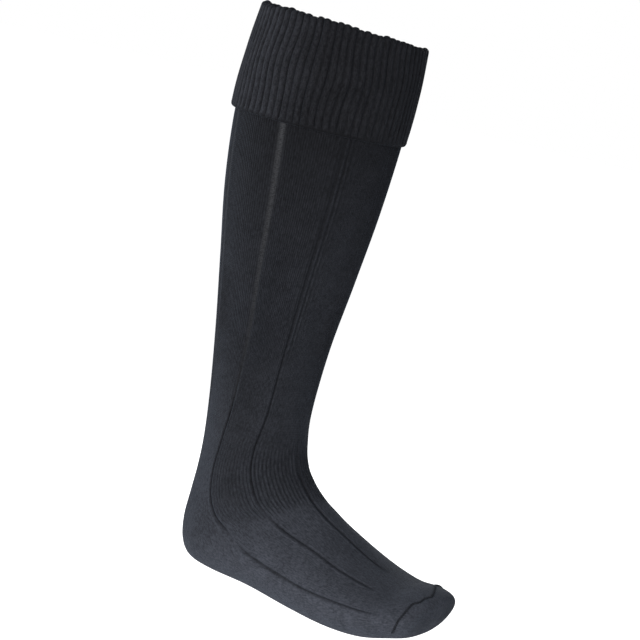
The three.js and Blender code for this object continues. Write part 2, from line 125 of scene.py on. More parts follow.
@dataclass
class WornForm:
    """The form of the sock when worn, as sections from the fold to the toe tip.

    leg_rows: rise, deep, wide, centre, border, bow.
    foot_rows: top along, top rise, sole along, sole rise, wide, widest, square,
    border, turn, bow.
    """

    sock_height: float = 445.0
    ankle_height: float = 118.0
    calf_depth: float = 135.5
    calf_width: float = 124.0
    ankle_depth: float = 82.0
    ankle_width: float = 78.0
    foot_length: float = 238.5
    foot_width: float = 93.0
    leg_rows: Rows = (
        (1.0, 0.82, 1.0, 0.166, 87, 0),
        (0.892, 0.935, 1.02, 0.159, 86, 0),
        (0.758, 1.0, 0.965, 0.15, 85, 0),
        (0.581, 0.82, 0.845, 0.151, 82, 1),
        (0.401, 0.48, 0.617, 0.158, 82, 2),
        (0.235, 0.174, 0.343, 0.163, 82, 3),
        (0.078, 0.0, 0.126, 0.174, 89, 4),
    )
    foot_rows: Rows = (
        (0.363, 1.0, 0.014, 0.911, 0.843, 0.5, 1.0, 100, 7, 5),
        (0.39, 0.88, 0.013, 0.695, 0.796, 0.51, 1.0, 107, 11, 4),
        (0.425, 0.811, 0.005, 0.487, 0.761, 0.53, 1.0, 106, 14, 2),
        (0.464, 0.754, 0.002, 0.297, 0.742, 0.56, 0.95, 97, 16, 2),
        (0.502, 0.709, 0.02, 0.143, 0.742, 0.58, 0.9, 88, 17, 1),
        (0.54, 0.672, 0.067, 0.055, 0.768, 0.59, 0.85, 85, 17, 0),
        (0.577, 0.633, 0.162, 0.029, 0.802, 0.59, 0.8, 87, 16, -2),
        (0.628, 0.584, 0.328, 0.032, 0.876, 0.58, 0.75, 90, 14, -4),
        (0.698, 0.52, 0.509, 0.01, 0.969, 0.58, 0.72, 87, 12, -4),
        (0.781, 0.465, 0.66, 0.0, 0.998, 0.58, 0.7, 80, 11, -3),
        (0.862, 0.438, 0.782, 0.019, 0.959, 0.57, 0.7, 77, 9, -1),
        (0.935, 0.446, 0.877, 0.073, 0.878, 0.55, 0.75, 78, 7, 0),
        (0.989, 0.422, 0.935, 0.12, 0.708, 0.53, 0.8, 82, 4, 0),
        (1.0, 0.355, 0.961, 0.191, 0.406, 0.5, 0.9, 88, 0, 0),
        (0.994, 0.258, 0.981, 0.234, 0.065, 0.5, 1.0, 90, 0, 0),
    )
    table: np.ndarray = field(init=False)

    def __post_init__(self) -> None:
        """Work the table of sections out in millimetres."""
        leg_height = self.sock_height - self.ankle_height
        opening = self.leg_rows[0][3] * self.foot_length
        rows = []
        for rise, deep, wide, centre, border, bow in self.leg_rows:
            half_depth = (self.ankle_depth + (self.calf_depth - self.ankle_depth) * deep) / 2
            half_width = (self.ankle_width + (self.calf_width - self.ankle_width) * wide) / 2
            middle = centre * self.foot_length - opening
            height = (rise - 1) * leg_height
            rows.append([middle + half_depth, height, middle - half_depth, height,
                         half_width, 0.5, 1.0, border, 0.0, bow])
        for along, rise, under, low, wide, *fullness in self.foot_rows:
            rows.append([along * self.foot_length - opening,
                         rise * self.ankle_height - self.sock_height,
                         under * self.foot_length - opening,
                         low * self.ankle_height - self.sock_height,
                         wide * self.foot_width / 2, *fullness])
        self.table = np.array(rows, float)

    @property
    def tip(self) -> float:
        """Station of the toe tip."""
        return len(self.table) - 1.0

    def section(self, station: np.ndarray) -> np.ndarray:
        """Sections at stations, smooth through the rows of the table.

        Args:
            station: row numbers, whole or between two rows.

        Returns:
            The ten values of each section, along the last axis.
        """
        table = self.table
        last = len(table) - 1
        low = np.clip(np.floor(station).astype(int), 0, last - 1)
        share = (station - low)[..., None]
        b, c = table[low], table[low + 1]
        a = np.where((low > 0)[..., None], table[np.maximum(low - 1, 0)], 2 * b - c)
        d = np.where((low + 1 < last)[..., None], table[np.minimum(low + 2, last)], 2 * c - b)
        bend = 2 * a - 5 * b + 4 * c - d
        twist = 3 * b - a - 3 * c + d
        return 0.5 * (2 * b + (c - a) * share + bend * share**2 + twist * share**3)

    def skin(self, station: np.ndarray, needle: np.ndarray) -> np.ndarray:
        """Points on the outer skin.

        Args:
            station: stations of the points.
            needle: needle angles, 0 at the front and 90 on the near side.

        Returns:
            Points in millimetres, along the last axis.
        """
        sec = self.section(station)
        border = sec[..., Column.BORDER]
        around = signed_angle(needle)
        size = np.abs(around)
        beyond = (size - QUARTER_TURN) / QUARTER_TURN * (HALF_TURN - border)
        in_front = size <= QUARTER_TURN
        angle = np.where(in_front, size / QUARTER_TURN * border, border + beyond)
        turned = sec[..., Column.TURN] * np.cos(np.radians(around))
        turned = turned + sec[..., Column.BOW] * np.sin(np.radians(2 * around))
        angle = np.radians(np.sign(around) * angle + np.where(in_front, turned, 0.0))
        forward, sideways = np.cos(angle), np.sin(angle)
        front = sec[..., Column.FRONT_X : Column.BACK_X]
        back = sec[..., Column.BACK_X : Column.HALF_WIDTH]
        middle = front + (back - front) * sec[..., Column.WIDEST, None]
        square = sec[..., Column.SQUARE]
        ahead = forward >= 0
        reach = np.where(ahead, forward, np.abs(forward) ** square)
        spread = np.where(ahead, sideways, np.sign(sideways) * np.abs(sideways) ** square)
        end = np.where(ahead[..., None], front, back)
        flat = middle + (end - middle) * reach[..., None]
        width = -sec[..., Column.HALF_WIDTH] * spread
        return np.stack([flat[..., 0], width, flat[..., 1]], axis=-1)

    def normal(self, station: np.ndarray, needle: np.ndarray) -> np.ndarray:
        """Directions out of the skin at stations and needle angles."""
        lower = np.minimum(station + STATION_STEP, self.tip)
        along = self.skin(lower, needle) - self.skin(station - STATION_STEP, needle)
        across = self.skin(station, needle + NEEDLE_STEP) - self.skin(station, needle - NEEDLE_STEP)
        out = np.cross(across, along)
        return out / np.linalg.norm(out, axis=-1, keepdims=True)

    def station_at(self, height: np.ndarray) -> np.ndarray:
        """Stations of heights on the leg, which falls steadily to the ankle."""
        high = np.zeros_like(height)
        low = np.full_like(height, len(self.leg_rows) - 1.0)
        for _ in range(HALVINGS):
            middle = (high + low) / 2
            above = self.section(middle)[..., Column.FRONT_Z] > height
            high = np.where(above, middle, high)
            low = np.where(above, low, middle)
        return (high + low) / 2


@dataclass(frozen=True)
class Knitting:
    """How the yarn is knitted: needles round the sock and the size of a course."""

    needles: int = 200
    course: float = 1.35

    def wale(self, needle: np.ndarray) -> np.ndarray:
        """Wale numbers at needle angles."""
        return needle / FULL_TURN * self.needles


@dataclass(frozen=True)
class DropStitches:
    """Lines where a needle was left out, open at the top and closing downwards.

    rows: angle from the front, station at which the line stops, how far it stands
    open under the hem, how plain it is there, the station where it is plainest, the
    station below the ankle where it is faintest, and how plain it is at that one.
    Names that end in length count stations: over how many a line stops, grows plain
    or is worn faint. foot: station where the foot starts, and over how many it does.
    ridge: how far the wales beside a line stand up, how far away and how broadly.
    """

    depth: float = 0.85
    ladder_depth: float = 0.5
    open_width: float = 1.3
    closed_width: float = 0.6
    foot_width: float = 0.95
    opens_at: float = 2.0
    closes_at: float = 6.2
    foot: Pair = (9.0, 4.0)
    foot_loss: float = 0.22
    plain_length: float = 2.6
    break_length: float = 0.85
    overrun: float = 0.1
    end_length: float = 0.5
    ridge: float = 0.3
    ridge_away: float = 2.2
    ridge_reach: float = 0.8
    rows: Rows = (
        (0.0, 16.15, 0.0, 0.12, 9.0, 11.0, 1.0),
        (45.0, 16.6, 0.0, 0.6, 4.5, 10.8, 0.35),
        (90.0, 17.35, 1.0, 1.0, 2.0, 12.0, 0.22),
        (135.0, 6.4, 0.5, 0.6, 4.0, 11.0, 1.0),
        (180.0, 6.4, 0.5, 0.6, 4.0, 11.0, 1.0),
    )

    def lie(
        self, station: np.ndarray, needle: np.ndarray, needles: int
    ) -> tuple[np.ndarray, np.ndarray, np.ndarray]:
        """How deep in a line each point lies.

        Args:
            station: stations of the points.
            needle: needle angles.
            needles: needles round the sock.

        Returns:
            Shares from 0 beside a line to 1 in its middle, for the open ladder and
            for the closed groove, and then how far the wales beside it stand up.
        """
        size = from_front(needle)
        fade = fallen(station, self.closes_at, self.closes_at - self.opens_at)
        foot = risen(station, *self.foot)
        ladder, groove, beside = np.zeros((3, *np.broadcast(station, needle).shape))
        for line, end, opening, faint, plainest, faintest, least in self.rows:
            opened = np.sqrt(fade * opening)
            grown = np.clip(1 - (plainest - station) / self.plain_length, 0, 1)
            worn = bell(station, faintest, self.break_length)
            plain = (faint + (1 - faint) * grown) * (1 - (1 - least) * worn)
            spread = self.closed_width + (self.open_width - self.closed_width) * opened
            spread = spread + (self.foot_width - self.closed_width) * foot
            away = (size - line) / FULL_TURN * needles / spread
            shown = fallen(station, end + self.overrun, self.end_length)
            shown = shown * plain * (1 - self.foot_loss * foot)
            mask = np.exp(-away**2) * shown
            ladder = np.maximum(ladder, mask * opened)
            groove = np.maximum(groove, mask * (1 - opened))
            wales = bell(np.abs(away), self.ridge_away, self.ridge_reach)
            beside = np.maximum(beside, wales * np.sqrt(shown) * (1 - opened) * self.ridge)
        return ladder, groove, beside


@dataclass(frozen=True)
class PaleYarnAndPaintedLight:
    """Where the thicker foot yarn shows, with painted light: a trace on the leg and all of the
    foot.

    Each pair says where something starts, or for the shin ends, and over what
    length, in stations down the sock or in degrees from the front. The trace grows
    lighter down the leg. The front of the leg, the sole and the toe get painted
    light, and the heel painted shade, as the light falls on them.
    """

    behind: Pair = (84.0, 12.0)
    front_start: Pair = (8.4, 4.2)
    back_start: Pair = (4.9, 3.9)
    shin: Pair = (75.0, 30.0)
    leg_start: Pair = (1.2, 2.8)
    beside: Pair = (60.0, 30.0)
    sole_start: Pair = (11.0, 3.0)
    heel_end: Pair = (10.0, 3.0)
    toe_start: Pair = (17.0, 1.5)
    leg_share: float = 0.26
    shin_painted_light: float = 0.08
    foot_share: float = 0.71
    sole_painted_light: float = 0.25
    heel_painted_shade: float = 0.23
    toe_painted_light: float = 0.3
    toe_side_loss: float = 0.7

    def share(self, station: np.ndarray, needle: np.ndarray) -> np.ndarray:
        """How much of the foot yarn and of the painted light shows.

        Args:
            station: stations of the points.
            needle: needle angles.

        Returns:
            Shares from 0 on the leg to about 1 on the foot.
        """
        size = from_front(needle)
        behind, beside = risen(size, *self.behind), risen(size, *self.beside)
        front, back = risen(station, *self.front_start), risen(station, *self.back_start)
        share = front + (back - front) * behind
        share = share * share * (3 - 2 * share)
        # Painted light on the front of the leg
        trace = self.leg_share + self.shin_painted_light * fallen(size, *self.shin)
        trace = trace * risen(station, *self.leg_start)
        # Painted light on the sole and the toe, painted shade on the heel
        under = beside * risen(station, *self.sole_start)
        heel = behind * (1 - risen(station, *self.heel_end))
        toe = risen(station, *self.toe_start) * (1 - self.toe_side_loss * beside)
        high = self.foot_share + self.sole_painted_light * under - self.heel_painted_shade * heel
        high = high + self.toe_painted_light * toe
        return trace + (high - trace) * share


@dataclass(frozen=True)
class YarnFinish:
    """A knitted finish: its yarns, their fuzz and the relief of the stitches.

    plain and cushion each hold the darker and the lighter shade
    of a colour: the plain yarn, and the foot yarn or, on the cuff, a painted light.
    A piece's own cushion value says how much of the second it
    shows, partly painted light. fleck, cloud and fibre each hold patches in a
    metre and steps of finer noise, and strand the same across and along a stitch.
    """

    name: str
    plain: tuple[Triple, Triple]
    cushion: tuple[Triple, Triple]
    roughness: float = 0.92
    shine: float = 0.15
    sheen: float = 0.1
    sheen_roughness: float = 0.4
    sheen_tint: Triple = (0.55, 0.68, 0.9)
    fleck: Pair = (620.0, 4.0)
    cloud: Pair = (70.0, 5.0)
    fibre: Pair = (2600.0, 2.0)
    strand: Pair = (1.3, 0.3)
    fleck_share: float = 0.36
    cloud_share: float = 0.19
    strand_share: float = 0.45
    yarn_range: Pair = (0.4, 0.6)
    float_range: Pair = (0.1, 0.55)
    rung_relief: float = 0.12
    painted_shade_share: float = 0.88
    leg_relief: float = 0.6
    course_relief: float = 0.2
    slant: float = 1.1
    stitch_depth: float = 0.25
    fibre_depth: float = 0.12
    # ladder: painted highlight on the loose floats of an open ladder
    ladder: Triple = (0.06, 0.061, 0.066)
    # groove: the dark of painted shade in grooves, hollows and between the floats
    groove: Triple = (0.004, 0.004, 0.005)

    def material(self) -> bpy.types.Material:
        """Build the finish as a node material that follows the stitches.

        Returns:
            The material.
        """
        mat = bpy.data.materials.new(self.name)
        mat.use_nodes = True
        tree = mat.node_tree
        shader = tree.nodes["Principled BSDF"]
        shader.inputs["Roughness"].default_value = self.roughness
        shader.inputs["Specular IOR Level"].default_value = self.shine
        shader.inputs["Sheen Weight"].default_value = self.sheen
        shader.inputs["Sheen Roughness"].default_value = self.sheen_roughness
        shader.inputs["Sheen Tint"].default_value = (*self.sheen_tint, 1.0)
        bench = NodeBench(tree)
        stitches = bench.make("ShaderNodeUVMap", "UV", {}, uv_map="stitches")
        u = bench.make("ShaderNodeSeparateXYZ", "X", {0: stitches})
        v = bench.make("ShaderNodeSeparateXYZ", "Y", {0: stitches})
        place = bench.make("ShaderNodeTexCoord", "Object", {})

        # Yarn: two shades twisted together, with slow cloudiness
        fleck = bench.noise(place, *self.fleck)
        cloud = bench.noise(place, *self.cloud)
        across, along = bench.times(u, self.strand[0]), bench.times(v, self.strand[1])
        twist = bench.make("ShaderNodeCombineXYZ", 0, {0: across, 1: along})
        strand = bench.noise(twist, 1.0, 2.0)
        heather = bench.add(bench.times(fleck, self.fleck_share),
                            bench.times(cloud, self.cloud_share))
        heather = bench.add(heather, bench.times(strand, self.strand_share))
        blend = bench.ramp(heather, *self.yarn_range)
        # Each piece's own value mixes in the second colours: the foot yarn with painted light on
        # leg and foot, painted light alone on the cuff
        yarn = bench.mix(bench.value("cushion"), bench.mix(blend, *self.plain),
                         bench.mix(blend, *self.cushion))

        # Ladders show the loose floats across them as a painted highlight between painted dark
        # gaps, and grooves get painted shade
        wave = bench.math("COSINE", bench.times(v, math.tau))
        rung = bench.add(bench.times(wave, self.rung_relief), 1 - self.rung_relief)
        floats = bench.times(bench.ramp(fleck, *self.float_range), rung)
        floats = bench.mix(floats, self.groove, self.ladder)
        colour = bench.mix(bench.value("ladder"), yarn, floats)
        # The piece's groove value paints shade into the colour, in grooves, hollows and closed
        # lines
        shaded = bench.times(bench.value("groove"), self.painted_shade_share)
        colour = bench.mix(shaded, colour, self.groove)
        tree.links.new(colour, shader.inputs["Base Color"])

        # Stitches: two slanting legs in each wale, one pair to a course
        side = bench.math("ABSOLUTE", bench.add(bench.math("FRACT", u), -0.5))
        middle = bench.add(bench.times(side, 4.0), -1.0)
        leg = bench.math("SUBTRACT", 1.0, bench.times(middle, middle))
        slanted = bench.add(v, bench.times(side, self.slant))
        rise = bench.math("COSINE", bench.times(slanted, math.tau))
        stitch = bench.add(bench.times(leg, self.leg_relief),
                           bench.times(rise, self.course_relief))
        stitched = bench.bump(stitch, self.stitch_depth * MM)
        fibre = bench.noise(place, *self.fibre)
        fuzzy = bench.bump(fibre, self.fibre_depth * MM, Normal=stitched)
        tree.links.new(fuzzy, shader.inputs["Normal"])
        return mat


class NodeBench:
    """Short ways to lay out the nodes of a finish."""

    def __init__(self, tree: bpy.types.NodeTree) -> None:
        """Keep the tree that the nodes go into."""
        self.tree = tree

    def make(
        self, kind: str, output: int | str, inputs: dict[int | str, object], **settings: str
    ) -> Socket:
        """Add a node.

        Args:
            kind: kind of node.
            output: name or number of the output that is wanted.
            inputs: a socket or a fixed value for each input.
            **settings: the node's own settings.

        Returns:
            The wanted output.
        """
        node = self.tree.nodes.new(kind)
        for name, setting in settings.items():
            setattr(node, name, setting)
        for name, value in inputs.items():
            if isinstance(value, Socket):
                self.tree.links.new(value, node.inputs[name])
            else:
                node.inputs[name].default_value = value
        return node.outputs[output]

    def math(self, operation: str, *values: object) -> Socket:
        """Work out an operation on sockets or numbers."""
        return self.make("ShaderNodeMath", 0, dict(enumerate(values)), operation=operation)

    def add(self, a: object, b: object) -> Socket:
        """Sum of two values."""
        return self.math("ADD", a, b)

    def times(self, a: object, b: object) -> Socket:
        """Product of two values."""
        return self.math("MULTIPLY", a, b)

    def value(self, name: str) -> Socket:
        """A piece's own value by its name."""
        return self.make("ShaderNodeAttribute", "Fac", {}, attribute_name=name)

    def noise(self, place: Socket, scale: float, detail: float) -> Socket:
        """A pattern around 0.5, by its patches in one unit and steps of finer noise."""
        inputs = {"Vector": place, "Scale": scale, "Detail": detail}
        return self.make("ShaderNodeTexNoise", "Fac", inputs)

    def ramp(self, value: Socket, low: float, high: float) -> Socket:
        """Stretch a value so that low gives 0 and high gives 1."""
        inputs = {"Value": value, "From Min": low, "From Max": high}
        return self.make("ShaderNodeMapRange", "Result", inputs)

    def mix(self, share: Socket, a: object, b: object) -> Socket:
        """Mix two colours, each a socket or three numbers.

        Args:
            share: the share of the second colour.
            a: first colour.
            b: second colour.

        Returns:
            The mixed colour.
        """
        a, b = (colour if isinstance(colour, Socket) else (*colour, 1.0) for colour in (a, b))
        # Inputs 6 and 7 and output 2 are the node's colours
        return self.make("ShaderNodeMix", 2, {"Factor": share, 6: a, 7: b}, data_type="RGBA")

    def bump(self, height: Socket, depth: float, **under: Socket) -> Socket:
        """The normal of a bump, by its depth in metres and the normal under it, if any."""
        inputs = {"Height": height, "Distance": depth, **under}
        return self.make("ShaderNodeBump", "Normal", inputs)


def pick(piece: bpy.types.Object) -> None:
    """Select one piece alone and make it the active one."""
    bpy.ops.object.select_all(action="DESELECT")
    piece.select_set(True)
    bpy.context.view_layer.objects.active = piece


def knit_flat(name: str, columns: int, rows: int) -> bpy.types.Object:
    """Knit a flat grid of stitches.

    Args:
        name: name of the piece.
        columns: steps across.
        rows: steps down.

    Returns:
        The grid's object, one unit across and down.
    """
    bpy.ops.mesh.primitive_grid_add(x_subdivisions=columns, y_subdivisions=rows, size=1.0)
    piece = bpy.context.object
    piece.name = name
    piece.data.name = name
    return piece


def wear(piece: bpy.types.Object, points: np.ndarray, stitches: np.ndarray,
         **values: np.ndarray) -> None:
    """Lay a flat grid on the form.

    Args:
        piece: the flat grid.
        points: a point for each row and column, in millimetres.
        stitches: the wale and course number of each row and column.
        **values: other named values of each row and column.
    """
    rows, columns = points.shape[0] - 1, points.shape[1] - 1
    mesh = piece.data
    flat = np.empty(len(mesh.vertices) * 3)
    mesh.vertices.foreach_get("co", flat)
    flat = flat.reshape(-1, 3)
    column = np.rint((0.5 - flat[:, 0]) * columns).astype(int)
    row = np.rint((0.5 - flat[:, 1]) * rows).astype(int)
    mesh.vertices.foreach_set("co", (points[row, column] * MM).ravel())
    while mesh.uv_layers:
        mesh.uv_layers.remove(mesh.uv_layers[0])
    layer = mesh.uv_layers.new(name="stitches")
    corners = np.empty(len(mesh.loops), int)
    mesh.loops.foreach_get("vertex_index", corners)
    layer.data.foreach_set("uv", stitches[row[corners], column[corners]].ravel())
    for name, grid in values.items():
        own = mesh.attributes.new(name, "FLOAT", "POINT")
        own.data.foreach_set("value", grid[row, column].ravel())
    mesh.update()


def close_joins(piece: bpy.types.Object) -> None:
    """Join the points that lie on each other, such as the two ends of a round."""
    pick(piece)
    bpy.ops.object.mode_set(mode="EDIT")
    bpy.ops.mesh.select_all(action="SELECT")
    bpy.ops.mesh.remove_doubles(threshold=JOIN_REACH * MM)
    bpy.ops.object.mode_set(mode="OBJECT")


def thicken(piece: bpy.types.Object, wall: float) -> None:
    """Give a single skin its wall, inwards.

    Args:
        piece: the skin.
        wall: thickness in millimetres.
    """
    pick(piece)
    shell = piece.modifiers.new("wall", "SOLIDIFY")
    shell.thickness = wall * MM
    shell.offset = -1.0
    shell.use_quality_normals = True
    bpy.ops.object.modifier_apply(modifier=shell.name)


@dataclass
class KnitPiece:
    """What all knitted pieces share: the form, the knitting, the lines, and the foot yarn with its
    painted light.
    """

    form: WornForm
    knitting: Knitting
    lines: DropStitches
    cushion: PaleYarnAndPaintedLight

    def course_numbers(self, points: np.ndarray) -> np.ndarray:
        """Course numbers down each column, from the lengths between its points."""
        steps = np.linalg.norm(np.diff(points, axis=0), axis=-1)
        start = np.zeros((1, points.shape[1]))
        return np.concatenate([start, np.cumsum(steps, axis=0)]) / self.knitting.course

    def skin_piece(
        self, name: str, needles: np.ndarray, start: np.ndarray | float,
        end: np.ndarray | float, rows: int, surface: Surface,
    ) -> bpy.types.Object:
        """Knit a single skin between two edges and lay it on the form.

        Args:
            name: name of the piece.
            needles: needle angle of each column.
            start: station of the upper edge, at each column or of all.
            end: station of the lower edge, at each column or of all.
            rows: courses of the grid.
            surface: gives the height over the skin and the painted shade of a groove.

        Returns:
            The piece, one skin thick.
        """
        share = np.linspace(0, 1, rows + 1)[:, None]
        station, needle = np.broadcast_arrays(start + (end - start) * share, needles)
        ladder, line, beside = self.lines.lie(station, needle, self.knitting.needles)
        height, shade = surface(station, needle)
        plain = 1 - np.maximum(ladder, line)
        sunk = np.maximum(ladder * self.lines.ladder_depth, line) * self.lines.depth
        height = height * plain + beside - sunk
        points = self.form.skin(station, needle)
        points = points + self.form.normal(station, needle) * height[..., None]
        stitches = np.stack([self.knitting.wale(needle), self.course_numbers(points)], axis=-1)
        piece = knit_flat(name, len(needles) - 1, rows)
        # groove: painted shade, full in a closed line and partial in the surface's hollows
        wear(piece, points, stitches, ladder=ladder, groove=np.maximum(line, shade * plain),
             cushion=self.cushion.share(station, needle))
        return piece

    def finish_piece(
        self, piece: bpy.types.Object, finish: bpy.types.Material, slot: str, *nodes: str
    ) -> None:
        """Smooth and dress a piece, and hide the plain solids that it replaces.

        Args:
            piece: the piece.
            finish: its material.
            slot: not used.
            *nodes: the nodes that it replaces.
        """
        pick(piece)
        bpy.ops.object.shade_smooth_by_angle(angle=math.radians(SHARP_ANGLE))
        piece.data.materials.clear()
        piece.data.materials.append(finish)
        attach(piece, "root")
        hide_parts(*nodes)
        count = sum(len(face.vertices) - 2 for face in piece.data.polygons)
        log.info("%s: %d triangles", piece.name, count)


def smooth_knit(station: np.ndarray, needle: np.ndarray) -> Relief:
    """A plain surface, with no ribs and no painted shade."""
    return np.zeros(station.shape), np.zeros(station.shape)


RIB_EDGE = ((0.0, 10.8), (33.75, 11.2), (56.25, 11.35), (78.75, 11.0), (90.0, 10.8))
SEAM_EDGE = ((0.0, 18.3), (90.0, 18.3), (125.0, 18.2), (180.0, 17.5))
SEAM_WANDER = ((-180.0, 0.0), (-110.0, -0.25), (-50.0, -0.42), (-24.0, -0.38), (4.0, 0.12),
               (19.0, 0.34), (29.0, 0.2), (42.0, 0.2), (52.0, 0.02), (78.0, 0.06), (94.0, 0.05),
               (112.0, 0.14), (128.0, 0.12), (180.0, 0.0))
LEG_END = 6.4
HEEL_END = 12.3
LEG_EDGE = ((0.0, LEG_END), (180.0, LEG_END))
HEEL_EDGE = ((0.0, HEEL_END), (180.0, HEEL_END))


def table_value(rows: Sequence[Pair], angle: np.ndarray) -> np.ndarray:
    """Values at angles, from a short table of angles and values."""
    return np.interp(angle, [row[0] for row in rows], [row[1] for row in rows])


def edge_station(rows: Sequence[Pair], needle: np.ndarray) -> np.ndarray:
    """Stations of an edge that is the same on both sides."""
    return table_value(rows, from_front(needle))


def seam_station(needle: np.ndarray) -> np.ndarray:
    """Stations of the toe seam, which wanders a few stitches from its even course."""
    return edge_station(SEAM_EDGE, needle) + table_value(SEAM_WANDER, signed_angle(needle))


@dataclass(frozen=True)
class Wave:
    """A slow wave in the knitting.

    size: how far it swings, length: millimetres down the cuff for each radian,
    turns: waves round the sock or from rib to rib, phase: where it starts.
    """

    size: float
    length: float
    turns: float
    phase: float

    def at(self, height: np.ndarray, around: np.ndarray) -> np.ndarray:
        """Swing of the wave at heights and angles or rib numbers."""
        return self.size * np.sin(height / self.length + self.turns * around + self.phase)


@dataclass
class TurnoverCuff(KnitPiece):
    """The ribbed band, knitted double and turned down over the leg.

    Its section is drawn as steps of height, distance out and share of the ribs.
    hem_inside, hem_outside: such steps, up from the lowest edge and out from the
    inner or the outer face.
    fold_shape: where the fold starts, how high it rises and where it ends inside,
    in radii, and fold_steps: degrees from and to, and the number of steps.
    near_ribs: usual size of the ribs, more on the near side, less low in front.
    rim_depth, dip_depth: how far down from the fold the rim and the dip are felt.
    dip_at, dip_reach: needle angle of the dip, and how far round it goes.
    hem_painted_shadow: painted shadow along the hem: its darkest share, and where
    and over what height it fades upwards.
    """

    drop: float = 81.0
    back: float = 12.0
    wall: float = 2.7
    ease: float = 0.9
    leg_wall: float = 2.0
    hem_inside: Sequence[Triple] = ((0.9, 0.1, 0.0), (0.2, 0.6, 0.05), (0.0, 1.2, 0.15))
    hem_outside: Sequence[Triple] = ((0.3, -0.85, 0.3), (0.9, -0.35, 0.45), (1.8, 0.05, 0.5),
                                    (2.8, 0.15, 0.75))
    hem_height: float = 4.2
    bulge: float = 0.3
    fold_shape: Triple = (1.25, 1.05, 1.3)
    fold_steps: tuple[int, int, int] = (10, 170, 13)
    lining_ease: float = 0.06
    ribs: int = 72
    rib_relief: float = 1.15
    rib_roundness: float = 0.8
    rib_painted_shade: float = 0.72
    near_ribs: Triple = (0.84, 0.3, 0.16)
    wales_per_rib: int = 4
    tilt: float = 0.045
    far_tilt: float = 0.05
    sway: tuple[Wave, ...] = (Wave(1.1, 13.5, 1.0, 0.0), Wave(0.4, 7.5, 3.0, 1.3))
    sway_bend: Wave = Wave(1.9, math.inf, 2.0, 0.6)
    sway_start: float = 0.08
    sway_fullness: float = 0.7
    swell: tuple[Wave, ...] = (Wave(0.5, math.inf, 5.0, 0.7), Wave(0.4, 25.0, 8.0, 0.0))
    rib_size: tuple[Wave, ...] = (Wave(0.2, math.inf, 2.399, 0.0), Wave(0.1, 11.0, 1.7, 0.0))
    rim: tuple[Wave, ...] = (Wave(0.6, math.inf, 1.9, 0.0), Wave(0.5, math.inf, 0.73, 1.0))
    rim_drop: float = 1.1
    rim_scallop: float = 0.9
    rim_depth: float = 6.0
    dip: float = 2.2
    dip_at: float = 125.0
    dip_reach: float = 22.0
    dip_depth: float = 30.0
    hem_painted_shadow: Triple = (0.9, 1.5, 2.2)
    # Painted light: the cuff grows lighter from this angle off the front round the back, over this
    # angle
    painted_light_behind: Pair = (70.0, 45.0)
    columns_per_rib: int = 10
    rows_down: int = 56

    def profile(self) -> np.ndarray:
        """Section of the cuff: height, distance out and share of the ribs.

        Returns:
            One row for each step round the section, closed.
        """
        drop, leg, outer = self.drop, self.leg_wall, self.ease + self.wall
        radius = (outer + leg) / 2
        start, rise, under = (share * -radius for share in self.fold_shape)
        steps = [(up - drop, self.ease + out, rib) for up, out, rib in self.hem_inside]
        steps += [(up - drop, outer + out, rib) for up, out, rib in self.hem_outside]
        for height in np.linspace(self.hem_height - drop, start, self.rows_down):
            steps.append((height, outer + self.bulge * math.sin(-math.pi * height / drop), 1.0))
        middle = (outer - leg) / 2
        for turn in np.linspace(*self.fold_steps):
            angle = math.radians(turn)
            over = min(1.0, (HALF_TURN - turn) / QUARTER_TURN)
            steps.append((rise * (1 - math.sin(angle)),
                          middle + (outer - middle) * math.cos(angle), over))
        lining = self.ease + self.lining_ease
        inside = [(under, -leg), (-self.back * 0.7, -leg), (-self.back, -leg), (-self.back, 0.0),
                  (under, 0.0), (under, self.ease), (-drop * 0.3, lining), (-drop * 0.6, lining)]
        steps += [(height, out, 0.0) for height, out in inside]
        return np.array([*steps, steps[0]])

    def build(self) -> bpy.types.Object:
        """Knit the cuff round and round its section.

        Returns:
            The cuff.
        """
        steps = self.profile()
        columns = self.ribs * self.columns_per_rib
        needles = np.linspace(FULL_TURN, 0, columns + 1)
        around = np.radians(needles)
        height = np.broadcast_to(steps[:, 0:1], (len(steps), columns + 1)).copy()
        out, rib = steps[:, 1:2], steps[:, 2:3]
        outer = out > 0
        fall = np.clip(-height / self.drop, 0, 1)
        phase = needles / FULL_TURN * self.ribs
        crest = np.abs(np.cos(np.pi * phase)) ** self.rib_roundness
        number = np.floor(phase + 0.5) % self.ribs

        # Each rib has its own size, fuller on the near side and flatter low in front
        usual, near, low = self.near_ribs
        own = 1 + sum(wave.at(height, number) for wave in self.rib_size)
        own = own * (usual + near * np.sin(around) - low * fall * np.cos(around))
        sunk = rib * self.rib_relief * own * (1 - crest)

        # The ribs sway, most half way down, and the whole cuff swells a little
        broad, fine = self.sway
        sway = broad.at(height, self.sway_bend.at(height, around)) + fine.at(height, around)
        down = np.clip(fall * (1 - self.sway_start) + self.sway_start, 0, 1)
        sway = sway * np.sin(np.pi * down) ** self.sway_fullness
        swell = sum(wave.at(height, around) for wave in self.swell) * fall * outer

        # The rim is uneven, and sinks between the ribs and at the dip
        uneven = sum(wave.at(height, number) for wave in self.rim)
        rim = (1 - crest) * self.rim_scallop + uneven + self.rim_drop
        dip = self.dip * bell(needles, self.dip_at, self.dip_reach)
        height = (height - rim * np.clip(1 + height / self.rim_depth, 0, 1)
                  - dip * np.clip(1 + height / self.dip_depth, 0, 1))

        station = self.form.station_at(height)
        needle = needles + sway * (rib > 0)
        side = self.form.normal(station, needle)
        side[..., 2] = 0
        side /= np.linalg.norm(side, axis=-1, keepdims=True)
        points = self.form.skin(station, needle) + side * (out + swell - sunk)[..., None]
        lean = self.tilt * points[..., 0] + self.far_tilt * points[..., 1]
        points[..., 2] = height - lean * np.clip(1 + height / self.drop, 0, 1)

        wale = np.broadcast_to(phase * self.wales_per_rib, height.shape)
        stitches = np.stack([wale, self.course_numbers(points)], axis=-1)
